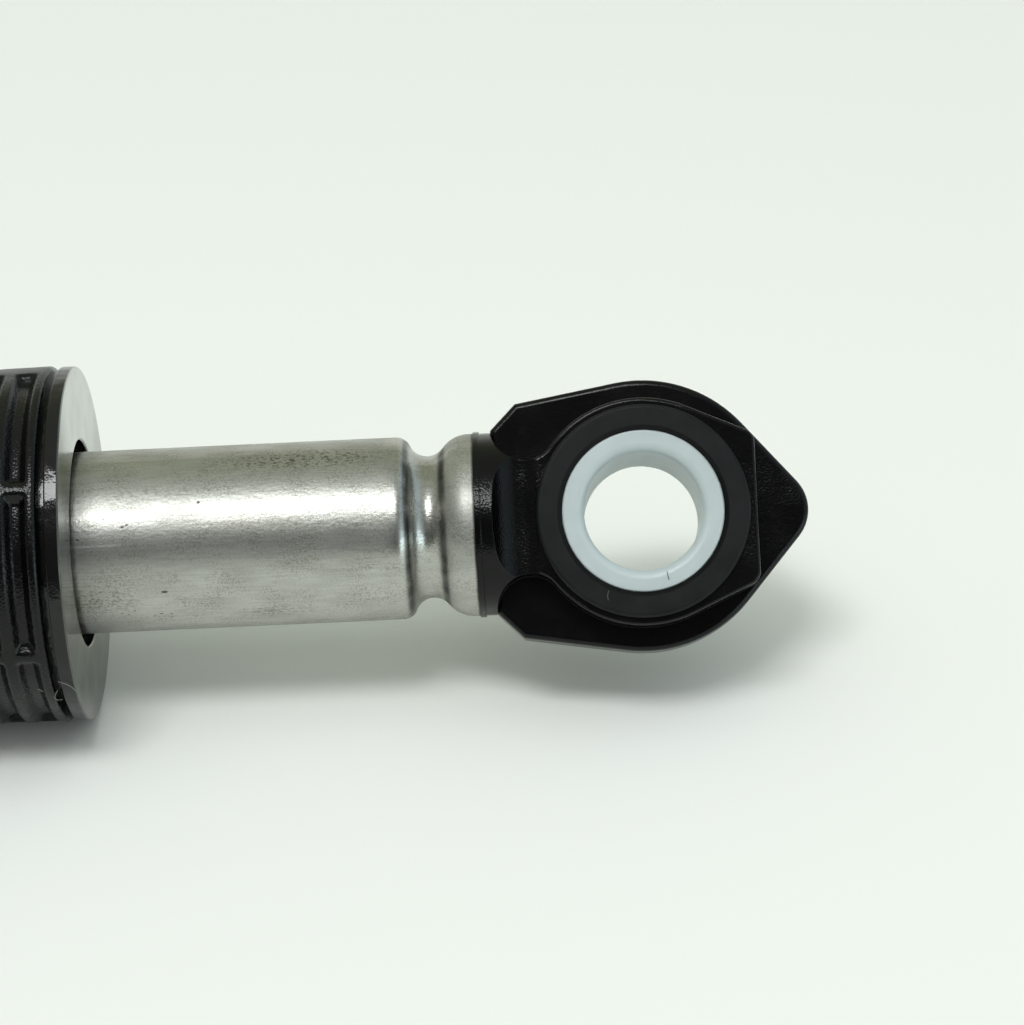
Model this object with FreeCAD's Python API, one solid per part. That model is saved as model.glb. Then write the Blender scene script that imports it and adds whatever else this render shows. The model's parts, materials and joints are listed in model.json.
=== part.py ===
import FreeCAD, Part
import math
import os

# Washing machine shock absorber: a steel tube rod slides in a friction head on a drawn steel casing.
# The damper's axis is X. The origin is the centre of the lower eye's bore, which runs along Y.
# All lengths are in millimetres and all angles in degrees.

# Fits
FIT = 0.05
RUNNING_FIT = 0.06
STOP_GAP = 0.3

# Steel tubes
ROD_RADIUS = 11.0
ROD_ROOM = 2.8
TUBE_WALL = 1.2
ROD_SHOWN = 47.45
CASING_NECK = 4.65
CASING_BEND = 1.0
CASING_FLANGE = 1.95

# Rolled groove that locks a tube on its eye
GROOVE_DEPTH = 2.45
GROOVE_RADIUS = 2.3
SHOULDER_BEND = 0.55
CROWN_BEND = 2.75
CROWN_LAND = 0.6

# Eye bush and rubber isolator
BORE_RADIUS = 7.0
BUSH_WALL = 2.6
BUSH_LENGTH = 18.8
BUSH_ROUND = 1.1
BUSH_EDGE = 0.25
ISOLATOR_WALL = 1.6
ISOLATOR_FLANGE = 1.4
ISOLATOR_LIP = 0.8
ISOLATOR_EDGE = 0.45

# Eye moulding
BOSS_WALL = 2.2
BOSS_WIDTH = 18.0
BOSS_EDGE = 0.4
BOSS_TANGENT = 65.8
BOSS_CORNER = 1.6
WEB_MARGIN = 2.8
WEB_WIDTH = 7.0
WEB_EDGE = 0.7
WEB_SHOULDER = 3.1
TIP_TANGENT = 40.7
TIP_ROUND = 5.1
COLLAR_LENGTH = 2.1
COLLAR_LIP = 0.2
COLLAR_LIP_WIDTH = 0.7
SCOOP_RADIUS = 4.25
NECK_FILLET = 3.5
SADDLE_RADIUS = 3.4
SADDLE_FLOOR = 8.3
SPIGOT_LEAD = 3.5
SPIGOT_CHAMFER = 0.8
SPIGOT_CORE = 4.5
SPIGOT_FLOOR = 3.0
ROD_EYE_ROLL = 36.0

# Piston on the inner end of the rod
PISTON_FLANGE = 2.0
PISTON_PLAY = 0.5
PISTON_SPIGOT = 10.0
PISTON_VENT = 3.0
PISTON_RING_LENGTH = 5.0
PISTON_RING_PLAY = 0.2
PISTON_RING_SPLIT = 1.0
BUFFER_LENGTH = 4.0
BUFFER_EDGE = 0.6

# Travel from the rest position
COMPRESSION = 30.0
EXTENSION = 50.0

# Bump stop at the bottom of the casing
BUMP_CLEARANCE = 0.4
BUMP_RISE = 5.0
BUMP_HOLE = 4.0
BUMP_EDGE = 1.2

# Friction pack, from the inside out
GUIDE_LENGTH = 5.0
LINING_LENGTH = 8.0
SPACER_LENGTH = 2.0
SPACER_CLEARANCE = 0.6
WIPER_LENGTH = 3.0
WIPER_WIDTH = 3.6
WIPER_CLEARANCE = 0.12

# Steel end cap
CAP_INSET = 0.15
CAP_THICKNESS = 1.7
CAP_GAP = 0.9
CAP_SEAT = 2.2
CAP_CLEARANCE = 1.5
CAP_EDGE = 0.2

# Ribbed friction housing
HEAD_WALL = 4.5
HEAD_DRAFT = 0.6
HEAD_CHAMFER = 0.5
HEAD_CONE = 7.0
SOCKET_DEPTH = 14.0
SLEEVE_WALL = 2.4
END_RIB = 1.47
RIB_WIDTH = 1.95
POCKET_WIDTH = 2.0
POCKET_FLOOR = 0.9
POCKET_DEPTH = 1.1
POCKET_ROWS = 6
MOULD_HALVES = 2
POCKETS_IN_HALF = 3
BRIDGE_WIDTH = 2.0
BRIDGE_PITCH = 55.7
BRIDGE_TURN = 48.8

AXIS = FreeCAD.Vector(1, 0, 0)
ORIGIN = FreeCAD.Vector(0, 0, 0)
SAME_PLACE = 1e-6
FULL_TURN = 360
UPWARD = 90

# Sizes worked out from the ones above
tube_bore = ROD_RADIUS - TUBE_WALL
casing_bore = ROD_RADIUS + ROD_ROOM
casing_radius = casing_bore + TUBE_WALL
head_bore = casing_radius + CASING_FLANGE + FIT
head_radius = head_bore + HEAD_WALL
cap_radius = head_radius - CAP_INSET
cap_seat = head_bore + CAP_SEAT
cap_hole = ROD_RADIUS + CAP_CLEARANCE
plug_inset = TUBE_WALL + FIT
shoulder_radius = SHOULDER_BEND + plug_inset
crown_radius = CROWN_BEND + plug_inset


def tangent_reach(bend):
    """Axial distance between the groove's arc and a bend that it runs into."""
    both = bend + GROOVE_RADIUS
    return math.sqrt(both ** 2 - (GROOVE_DEPTH - both) ** 2)


groove_setback = tangent_reach(crown_radius) + CROWN_LAND
groove_run = groove_setback + tangent_reach(shoulder_radius)
spigot_length = groove_run + SPIGOT_LEAD

bush_radius = BORE_RADIUS + BUSH_WALL
isolator_bore = bush_radius + FIT
isolator_radius = isolator_bore + ISOLATOR_WALL
eye_hole = isolator_radius + FIT
boss_radius = eye_hole + BOSS_WALL
web_radius = boss_radius + WEB_MARGIN
neck_half = ROD_RADIUS - SCOOP_RADIUS
neck_end = math.sqrt((boss_radius + NECK_FILLET) ** 2 - (neck_half + NECK_FILLET) ** 2)
collar_edge = neck_end + SCOOP_RADIUS
eye_reach = collar_edge + COLLAR_LENGTH
saddle_height = SADDLE_FLOOR + SADDLE_RADIUS
saddle_x = -collar_edge + math.sqrt(SADDLE_RADIUS ** 2 - (saddle_height - ROD_RADIUS) ** 2)

# Stations along the axis, from the lower eye to the rod eye
cone_start = eye_reach + groove_run + CASING_NECK
cone_end = cone_start + casing_radius - ROD_RADIUS
spigot_end = eye_reach + spigot_length
bump_top = cone_end + BUMP_RISE
piston_start = bump_top + STOP_GAP + COMPRESSION
piston_groove = piston_start + PISTON_FLANGE
piston_seat = piston_groove + PISTON_RING_LENGTH + 2 * PISTON_RING_PLAY + PISTON_FLANGE
buffer_end = piston_seat + BUFFER_LENGTH
pack_start = buffer_end + EXTENSION + STOP_GAP
inner_lining_start = pack_start + GUIDE_LENGTH
spacer_start = inner_lining_start + LINING_LENGTH
outer_lining_start = spacer_start + SPACER_LENGTH
outer_guide_start = outer_lining_start + LINING_LENGTH
wiper_start = outer_guide_start + GUIDE_LENGTH
flange_start = wiper_start + WIPER_LENGTH
cap_face = flange_start + CAP_THICKNESS
head_front = flange_start - CAP_GAP
head_shoulder = pack_start - TUBE_WALL
head_tail = head_shoulder - SOCKET_DEPTH
rod_end = cap_face + ROD_SHOWN
rod_eye_centre = rod_end + eye_reach


def point(x, z):
    """A point of the XZ plane."""
    return FreeCAD.Vector(x, 0, z)


def line(start, end):
    """A straight edge between two points."""
    return Part.LineSegment(start, end).toShape()


def arc(start, middle, end):
    """A round edge through three points."""
    return Part.Arc(start, middle, end).toShape()


def arc_about(centre, start, end):
    """The shorter round edge about a centre, from one point to another."""
    radius = (start - centre).Length
    halfway = (start - centre).normalize() + (end - centre).normalize()
    return arc(start, centre + halfway.normalize() * radius, end)


def chain(corners):
    """Edges along corners (x, z) or (x, z, round), the round ones as tangent arcs."""
    points = [point(corner[0], corner[1]) for corner in corners]
    edges = []
    reached = points[0]
    for index in range(1, len(corners) - 1):
        if len(corners[index]) == 2:
            edges.append(line(reached, points[index]))
            reached = points[index]
            continue
        radius = corners[index][2]
        back = (points[index - 1] - points[index]).normalize()
        ahead = (points[index + 1] - points[index]).normalize()
        half = back.getAngle(ahead) / 2
        first = points[index] + back * (radius / math.tan(half))
        last = points[index] + ahead * (radius / math.tan(half))
        centre = points[index] + (back + ahead).normalize() * (radius / math.sin(half))
        edges.append(line(reached, first))
        edges.append(arc_about(centre, first, last))
        reached = last
    edges.append(line(reached, points[-1]))
    return edges


def face_of(edges):
    """The flat face inside a closed ring of edges."""
    return Part.Face(Part.Wire(Part.__sortEdges__(edges)))


def turned(corners):
    """A solid of revolution about the axis, from the closed corners of its half section."""
    return face_of(chain(corners + corners[:1])).revolve(ORIGIN, AXIS, FULL_TURN)


def ring(start, end, bore, radius):
    """A plain ring about the axis."""
    return turned([(start, bore), (end, bore), (end, radius), (start, radius)])


def plate(edges, width):
    """A flat plate in the XZ plane, centred on it."""
    face = face_of(edges)
    face.translate(FreeCAD.Vector(0, -width / 2, 0))
    return face.extrude(FreeCAD.Vector(0, width, 0))


def rim_edges(solid, width):
    """The edges round both broad sides of a plate."""
    def on_side(edge):
        box = edge.BoundBox
        return box.YLength < SAME_PLACE and abs(abs(box.YMin) - width / 2) < SAME_PLACE
    return [edge for edge in solid.Edges if on_side(edge)]


def both_halves(edges):
    """The edges with their mirror images across the XY plane."""
    return edges + [edge.mirror(ORIGIN, FreeCAD.Vector(0, 0, 1)) for edge in edges]


def on_circle(radius, angle):
    """The point of a circle about the origin at an angle from the axis."""
    turn = math.radians(angle)
    return point(radius * math.cos(turn), radius * math.sin(turn))


def groove_edges(tip, inward, inset):
    """Half section of the rolled groove, from the tube's tip to its plain run.

    The inset lowers the section square to itself, for the tube's inner side and the plug in it.
    """
    root = tip + inward * groove_setback
    arc_height = ROD_RADIUS - GROOVE_DEPTH + GROOVE_RADIUS
    groove_centre = point(root, arc_height)
    crown_centre = point(tip + inward * CROWN_LAND, ROD_RADIUS - crown_radius)
    shoulder_centre = point(tip + inward * groove_run, ROD_RADIUS - shoulder_radius)
    reach = GROOVE_RADIUS + inset
    crown_side = groove_centre + (crown_centre - groove_centre).normalize() * reach
    shoulder_side = groove_centre + (shoulder_centre - groove_centre).normalize() * reach
    land_end = point(crown_centre.x, ROD_RADIUS - inset)
    run_start = point(shoulder_centre.x, ROD_RADIUS - inset)
    return [
        line(point(tip, ROD_RADIUS - inset), land_end),
        arc_about(crown_centre, land_end, crown_side),
        arc(crown_side, point(root, arc_height - reach), shoulder_side),
        arc_about(shoulder_centre, shoulder_side, run_start),
    ]


def rod_tube():
    """Steel tube with the rolled groove at its outer end."""
    run_start = rod_end - groove_run
    edges = []
    for inset in (0, TUBE_WALL):
        height = ROD_RADIUS - inset
        edges += groove_edges(rod_end, -1, inset)
        edges.append(line(point(run_start, height), point(piston_seat, height)))
    for end in (rod_end, piston_seat):
        edges.append(line(point(end, ROD_RADIUS), point(end, tube_bore)))
    return face_of(edges).revolve(ORIGIN, AXIS, FULL_TURN)


def drawn_corners(inset):
    """Corners where the casing widens from the neck to its full bore, at an inset from its outside."""
    shift = inset * math.tan(math.radians(22.5))
    outer_bend = CASING_BEND + TUBE_WALL
    return [
        (cone_start + shift, ROD_RADIUS - inset, CASING_BEND + inset),
        (cone_end + shift, casing_radius - inset, outer_bend - inset),
    ]


def casing_tube():
    """Steel tube drawn in to the rod's size at the bottom, with a flange at the top."""
    run_start = eye_reach + groove_run
    flange_radius = head_bore - FIT
    edges = []
    for inset, top in ((0, head_shoulder), (TUBE_WALL, pack_start)):
        edges += groove_edges(eye_reach, 1, inset)
        run = [(run_start, ROD_RADIUS - inset)] + drawn_corners(inset)
        edges += chain(run + [(top, casing_radius - inset)])
    edges.append(line(point(eye_reach, ROD_RADIUS), point(eye_reach, tube_bore)))
    edges += chain([
        (head_shoulder, casing_radius),
        (head_shoulder, flange_radius),
        (pack_start, flange_radius),
        (pack_start, casing_bore),
    ])
    return face_of(edges).revolve(ORIGIN, AXIS, FULL_TURN)


def web_outline():
    """Outline of the eye's thin web: shoulders at the collar, a round eye and a pointed tip."""
    collar = point(-collar_edge, ROD_RADIUS)
    shoulder = collar + point(WEB_SHOULDER, WEB_SHOULDER)
    bearing = math.degrees(math.atan2(shoulder.z, shoulder.x))
    tangent = bearing - math.degrees(math.acos(web_radius / shoulder.Length))
    start = on_circle(web_radius, tangent)
    end = on_circle(web_radius, TIP_TANGENT)
    apex = web_radius / math.cos(math.radians(TIP_TANGENT))
    tip_centre = point(apex - TIP_ROUND / math.cos(math.radians(TIP_TANGENT)), 0)
    tip_start = tip_centre + on_circle(TIP_ROUND, TIP_TANGENT)
    return both_halves([
        line(point(-collar_edge, 0), collar),
        line(collar, shoulder),
        line(shoulder, start),
        arc(start, on_circle(web_radius, (tangent + TIP_TANGENT) / 2), end),
        line(end, tip_start),
        arc_about(tip_centre, tip_start, tip_centre + point(TIP_ROUND, 0)),
    ])


def eye_outline():
    """Outline of boss and neck: a round eye with straight-sided corners towards the tip."""
    waist = point(-neck_end, neck_half)
    fillet_centre = waist + point(0, NECK_FILLET)
    boss_side = fillet_centre * (boss_radius / (boss_radius + NECK_FILLET))
    bearing = math.degrees(math.atan2(boss_side.z, boss_side.x))
    tangent = on_circle(boss_radius, BOSS_TANGENT)
    corner = boss_radius * math.tan(math.radians(BOSS_TANGENT / 2))
    edges = [
        line(point(-neck_end, 0), waist),
        arc_about(fillet_centre, waist, boss_side),
        arc(boss_side, on_circle(boss_radius, (bearing + BOSS_TANGENT) / 2), tangent),
    ]
    edges += chain([(tangent.x, tangent.z), (boss_radius, corner, BOSS_CORNER), (boss_radius, 0)])
    return both_halves(edges)


def neck_rise():
    """Neck between the collar and its waist, as round as the tube and scooped on each side."""
    collar = point(-collar_edge, ROD_RADIUS)
    waist = point(-neck_end, neck_half)
    outline = both_halves([
        line(point(-collar_edge, 0), collar),
        arc_about(point(-neck_end, ROD_RADIUS), collar, waist),
        line(waist, point(-neck_end, 0)),
    ])
    barrel = Part.makeCylinder(ROD_RADIUS, SCOOP_RADIUS, point(-collar_edge, 0), AXIS)
    return plate(outline, 2 * ROD_RADIUS).common(barrel)


def eye_spigot():
    """Collar and cored plug of the eye, which the tube is rolled onto."""
    tail = -eye_reach - spigot_length
    plug_radius = ROD_RADIUS - plug_inset
    run_start = -eye_reach - groove_run
    lip_radius = ROD_RADIUS + COLLAR_LIP
    edges = groove_edges(-eye_reach, -1, plug_inset)
    edges += chain([
        (run_start, plug_radius),
        (tail + SPIGOT_CHAMFER, plug_radius),
        (tail, plug_radius - SPIGOT_CHAMFER),
        (tail, SPIGOT_CORE),
        (-eye_reach - SPIGOT_FLOOR, SPIGOT_CORE),
        (-eye_reach - SPIGOT_FLOOR, 0),
        (-collar_edge, 0),
        (-collar_edge, ROD_RADIUS),
        (-eye_reach + COLLAR_LIP_WIDTH, ROD_RADIUS),
        (-eye_reach + COLLAR_LIP_WIDTH, lip_radius),
        (-eye_reach, lip_radius),
        (-eye_reach, plug_radius),
    ])
    return face_of(edges).revolve(ORIGIN, AXIS, FULL_TURN)


def eye_moulding():
    """Eye moulding about its bore centre, with the bore along Y and the tube towards -X."""
    web = plate(web_outline(), WEB_WIDTH)
    web = web.makeFillet(WEB_EDGE, rim_edges(web, WEB_WIDTH))
    boss = plate(eye_outline(), BOSS_WIDTH)
    rim = [edge for edge in rim_edges(boss, BOSS_WIDTH) if edge.BoundBox.XMax > SAME_PLACE - neck_end]
    boss = boss.makeFillet(BOSS_EDGE, rim)
    body = web.fuse([boss, neck_rise(), eye_spigot()])
    hole_start = FreeCAD.Vector(0, -BOSS_WIDTH / 2, 0)
    hole = Part.makeCylinder(eye_hole, BOSS_WIDTH, hole_start, FreeCAD.Vector(0, 1, 0))
    return body.cut([hole] + saddle_cutters()).removeSplitter()


def saddle_cutters():
    """Cylinders across the neck that dip its broad sides between collar and boss."""
    cutters = []
    for side in (-1, 1):
        start = FreeCAD.Vector(saddle_x, side * saddle_height, -ROD_RADIUS)
        cutters.append(Part.makeCylinder(SADDLE_RADIUS, 2 * ROD_RADIUS, start, FreeCAD.Vector(0, 0, 1)))
    return cutters


def across(shape):
    """A shape turned about the axis, set with that axis along Y instead."""
    shape.rotate(ORIGIN, FreeCAD.Vector(0, 0, 1), 90)
    return shape


def eye_isolator():
    """Rubber spool in the eye, with a flange on each side of the boss."""
    inner = BOSS_WIDTH / 2
    outer = inner + ISOLATOR_LIP
    flange = isolator_radius + ISOLATOR_FLANGE
    return across(turned([
        (-outer, isolator_bore + ISOLATOR_EDGE),
        (-outer, flange, ISOLATOR_EDGE),
        (-inner, flange),
        (-inner, isolator_radius),
        (inner, isolator_radius),
        (inner, flange),
        (outer, flange, ISOLATOR_EDGE),
        (outer, isolator_bore + ISOLATOR_EDGE),
        (outer - ISOLATOR_EDGE, isolator_bore),
        (-outer + ISOLATOR_EDGE, isolator_bore),
    ]))


def eye_bush():
    """Plastic bush in the isolator, with rounded bore mouths."""
    half = BUSH_LENGTH / 2
    return across(turned([
        (0, BORE_RADIUS),
        (-half, BORE_RADIUS, BUSH_ROUND),
        (-half, bush_radius, BUSH_EDGE),
        (half, bush_radius, BUSH_EDGE),
        (half, BORE_RADIUS, BUSH_ROUND),
    ]))


def at_lower_end(shape):
    """An eye piece set on the casing, with its tip away from the rod."""
    shape.rotate(ORIGIN, FreeCAD.Vector(0, 0, 1), 180)
    return shape


def at_rod_end(shape):
    """An eye piece set on the rod, rolled about the axis as the rod rests."""
    shape.rotate(ORIGIN, AXIS, -ROD_EYE_ROLL)
    shape.translate(AXIS * rod_eye_centre)
    return shape


def piston():
    """Plug in the rod's inner end, with a ring groove between two flanges and a vent."""
    flange = casing_bore - PISTON_PLAY
    spigot = tube_bore - FIT
    tail = piston_seat + PISTON_SPIGOT
    return turned([
        (piston_start, PISTON_VENT),
        (piston_start, flange),
        (piston_groove, flange),
        (piston_groove, ROD_RADIUS),
        (piston_seat - PISTON_FLANGE, ROD_RADIUS),
        (piston_seat - PISTON_FLANGE, flange),
        (piston_seat, flange),
        (piston_seat, spigot),
        (tail - SPIGOT_CHAMFER, spigot),
        (tail, spigot - SPIGOT_CHAMFER),
        (tail, PISTON_VENT),
    ])


def piston_ring():
    """Split guide ring in the piston's groove."""
    start = piston_groove + PISTON_RING_PLAY
    end = start + PISTON_RING_LENGTH
    radius = casing_bore - RUNNING_FIT
    slit_corner = FreeCAD.Vector(start, -PISTON_RING_SPLIT / 2, 0)
    slit = Part.makeBox(PISTON_RING_LENGTH, PISTON_RING_SPLIT, casing_radius, slit_corner)
    return ring(start, end, ROD_RADIUS + PISTON_RING_PLAY, radius).cut(slit)


def rebound_buffer():
    """Rubber ring in front of the piston."""
    radius = casing_bore - PISTON_PLAY
    return turned([
        (piston_seat, ROD_RADIUS + FIT),
        (piston_seat, radius),
        (buffer_end, radius, BUFFER_EDGE),
        (buffer_end, ROD_RADIUS + FIT),
    ])


def bump_stop():
    """Rubber stop that fills the casing's cone and stands on the lower eye's plug."""
    inset = TUBE_WALL + BUMP_CLEARANCE
    cone = [corner[:2] for corner in drawn_corners(inset)]
    return turned(
        [(spigot_end, BUMP_HOLE), (spigot_end, ROD_RADIUS - inset)]
        + cone
        + [(bump_top, casing_radius - inset, BUMP_EDGE), (bump_top, BUMP_HOLE)]
    )


def guide_bush(start):
    """Plastic bush that the rod runs in."""
    return ring(start, start + GUIDE_LENGTH, ROD_RADIUS + RUNNING_FIT, head_bore - FIT)


def friction_lining(start):
    """Foam sleeve that grips the rod."""
    return ring(start, start + LINING_LENGTH, ROD_RADIUS + RUNNING_FIT, head_bore - FIT)


def lining_spacer():
    """Plastic ring between the two linings."""
    end = spacer_start + SPACER_LENGTH
    return ring(spacer_start, end, ROD_RADIUS + SPACER_CLEARANCE, head_bore - FIT)


def wiper_ring():
    """Felt ring behind the end cap."""
    bore = ROD_RADIUS + WIPER_CLEARANCE
    return ring(wiper_start, flange_start, bore, bore + WIPER_WIDTH)


def end_cap():
    """Steel disc with a step that seats on the housing and a spigot that clamps the friction pack."""
    wiper_pocket = ROD_RADIUS + WIPER_CLEARANCE + WIPER_WIDTH + FIT
    spigot = head_bore - FIT
    return turned([
        (wiper_start, wiper_pocket),
        (wiper_start, spigot),
        (head_front, spigot),
        (head_front, cap_seat),
        (flange_start, cap_seat),
        (flange_start, cap_radius, CAP_EDGE),
        (cap_face, cap_radius, CAP_EDGE),
        (cap_face, cap_hole, CAP_EDGE),
        (flange_start, cap_hole),
        (flange_start, wiper_pocket),
    ])


def head_radius_at(x):
    """Outer radius of the ribbed head, which tapers a little for its mould."""
    ribbed = head_front - head_tail - HEAD_CONE
    return head_radius - HEAD_DRAFT * (head_front - x) / ribbed


def pocket_bearings():
    """Where the pockets of a row start: side by side in each mould half, plain at the parting lines."""
    bearings = []
    for half in range(MOULD_HALVES):
        last = BRIDGE_TURN + half * FULL_TURN / MOULD_HALVES
        bearings += [last - index * BRIDGE_PITCH for index in range(POCKETS_IN_HALF)]
    return bearings


def rib_pocket(end):
    """One pocket between ribs, as a cutter with sloped walls that starts at a bridge on the +Z side."""
    middle = end - POCKET_WIDTH / 2
    surface = head_radius_at(middle)
    floor = POCKET_FLOOR / 2
    mouth = POCKET_WIDTH - floor
    block = turned([
        (middle - floor, surface - POCKET_DEPTH),
        (middle + floor, surface - POCKET_DEPTH),
        (middle + mouth, surface + POCKET_DEPTH),
        (middle - mouth, surface + POCKET_DEPTH),
    ])
    far_end = pocket_end(middle, surface, -1)
    far_end.rotate(ORIGIN, AXIS, -BRIDGE_PITCH)
    return block.common(pocket_end(middle, surface, 1)).common(far_end)


def pocket_end(middle, surface, side):
    """Block that ends a pocket on one side of a bridge at +Z, with the slope of the pocket's walls."""
    reach = 2 * head_radius
    bridge_side = side * BRIDGE_WIDTH / 2
    slope = math.degrees(math.atan2(POCKET_WIDTH - POCKET_FLOOR, 2 * POCKET_DEPTH))
    corner = FreeCAD.Vector(middle - POCKET_WIDTH, min(bridge_side, bridge_side + side * reach), -reach)
    block = Part.makeBox(2 * POCKET_WIDTH, reach, 2 * reach, corner)
    block.rotate(FreeCAD.Vector(middle, bridge_side, surface), AXIS, side * slope)
    return block


def friction_housing():
    """Black moulded head: a stepped bore, a cone onto the casing and rows of pockets between ribs."""
    socket = casing_radius + FIT
    sleeve = socket + SLEEVE_WALL
    cone_top = head_tail + HEAD_CONE
    body = turned([
        (head_tail, socket),
        (head_tail, sleeve),
        (cone_top, head_radius_at(cone_top)),
        (head_front - HEAD_CHAMFER, head_radius_at(head_front)),
        (head_front, head_radius_at(head_front) - HEAD_CHAMFER),
        (head_front, head_bore),
        (head_shoulder, head_bore),
        (head_shoulder, socket),
    ])
    cutters = []
    for row in range(POCKET_ROWS):
        cutter = rib_pocket(head_front - END_RIB - row * (RIB_WIDTH + POCKET_WIDTH))
        for bearing in pocket_bearings():
            placed = cutter.copy()
            placed.rotate(ORIGIN, AXIS, UPWARD - bearing)
            cutters.append(placed)
    return body.cut(cutters)


def pieces():
    """Every piece of the damper by name."""
    return {
        "friction_housing": friction_housing(),
        "end_cap": end_cap(),
        "wiper_ring": wiper_ring(),
        "outer_guide_bush": guide_bush(outer_guide_start),
        "outer_friction_lining": friction_lining(outer_lining_start),
        "lining_spacer": lining_spacer(),
        "inner_friction_lining": friction_lining(inner_lining_start),
        "inner_guide_bush": guide_bush(pack_start),
        "casing_tube": casing_tube(),
        "bump_stop": bump_stop(),
        "lower_eye": at_lower_end(eye_moulding()),
        "lower_eye_isolator": at_lower_end(eye_isolator()),
        "lower_eye_bush": at_lower_end(eye_bush()),
        "piston_ring": piston_ring(),
        "rod_tube": rod_tube(),
        "piston": piston(),
        "rebound_buffer": rebound_buffer(),
        "rod_eye": at_rod_end(eye_moulding()),
        "rod_eye_isolator": at_rod_end(eye_isolator()),
        "rod_eye_bush": at_rod_end(eye_bush()),
    }


os.makedirs("parts", exist_ok=True)
for name, shape in pieces().items():
    shape.exportStep(f"parts/{name}.step")
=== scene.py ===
"""Looks of a washing machine shock absorber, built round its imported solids.

Lengths are metres in the part's own frame: X runs from the lower eye to the rod eye, and Z is up.
"""
import json
import logging
import math
from dataclasses import dataclass
from enum import Enum
from functools import reduce
from typing import Dict, List, Sequence, Tuple, Union

import bpy
import numpy as np
from mathutils import Matrix, Vector


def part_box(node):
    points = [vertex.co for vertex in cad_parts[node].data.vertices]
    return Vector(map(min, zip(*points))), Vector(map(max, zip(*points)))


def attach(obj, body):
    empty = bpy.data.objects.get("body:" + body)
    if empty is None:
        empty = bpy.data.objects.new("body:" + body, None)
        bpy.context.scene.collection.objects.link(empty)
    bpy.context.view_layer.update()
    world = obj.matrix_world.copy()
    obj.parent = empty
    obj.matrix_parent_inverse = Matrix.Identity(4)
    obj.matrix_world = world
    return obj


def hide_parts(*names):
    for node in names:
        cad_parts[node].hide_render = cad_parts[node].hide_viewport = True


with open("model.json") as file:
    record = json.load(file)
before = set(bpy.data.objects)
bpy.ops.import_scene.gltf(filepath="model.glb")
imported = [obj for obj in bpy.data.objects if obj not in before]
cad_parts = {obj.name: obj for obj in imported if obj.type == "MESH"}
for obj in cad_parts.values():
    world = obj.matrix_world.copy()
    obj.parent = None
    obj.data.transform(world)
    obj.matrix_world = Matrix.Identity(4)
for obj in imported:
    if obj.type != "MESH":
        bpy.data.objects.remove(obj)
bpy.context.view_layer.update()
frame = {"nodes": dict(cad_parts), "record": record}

LOG = logging.getLogger("shock_absorber")
MM = 0.001
LENGTHWISE = Vector((1, 0, 0))
UPWARD = Vector((0, 0, 1))
SHADER, GEOMETRY = "ShaderNodeTree", "GeometryNodeTree"
# Ranges of a noise that a wide and a narrower fade run over.
WIDE, NARROW = (0.3, 0.7), (0.35, 0.65)

Colour = Tuple[float, float, float]
Material = bpy.types.Material
Node = bpy.types.Node
Piece = bpy.types.Object
Socket = bpy.types.NodeSocket
Tree = bpy.types.NodeTree
Value = Union[float, Sequence[float], Socket]


class Body(Enum):
    """Bodies of the damper that new pieces ride on."""

    CASING = "casing"
    ROD = "rod"


class Reach(Enum):
    """What a lamp's light is seen in."""

    ALL = "all"
    FILL = "fill"
    GLOSS = "gloss"


class Slot(Enum):
    """Material slots of the record that new pieces take their finish from."""

    MOULDED = "moulded_black"
    FELT = "felt"


class Kind(Enum):
    """Socket types of node groups."""

    FLOAT = "NodeSocketFloat"
    COUNT = "NodeSocketInt"
    VECTOR = "NodeSocketVector"
    SHAPE = "NodeSocketGeometry"
    FINISH = "NodeSocketMaterial"


def mount_place(name: str) -> Tuple[Vector, Vector]:
    """Find the centre and the axis of a mount in the part's frame."""
    mount = next(mount for mount in frame["record"]["mounts"] if mount["name"] == name)
    return Vector(mount["pos_m"]), Vector(mount["axis"])


def opaque(colour: Colour) -> Tuple[float, float, float, float]:
    """Add full alpha to a colour."""
    return (colour[0], colour[1], colour[2], 1.0)


def shade(colour: Colour, factor: float) -> Colour:
    """Make a colour darker or lighter."""
    return tuple(factor * part for part in colour)


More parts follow.
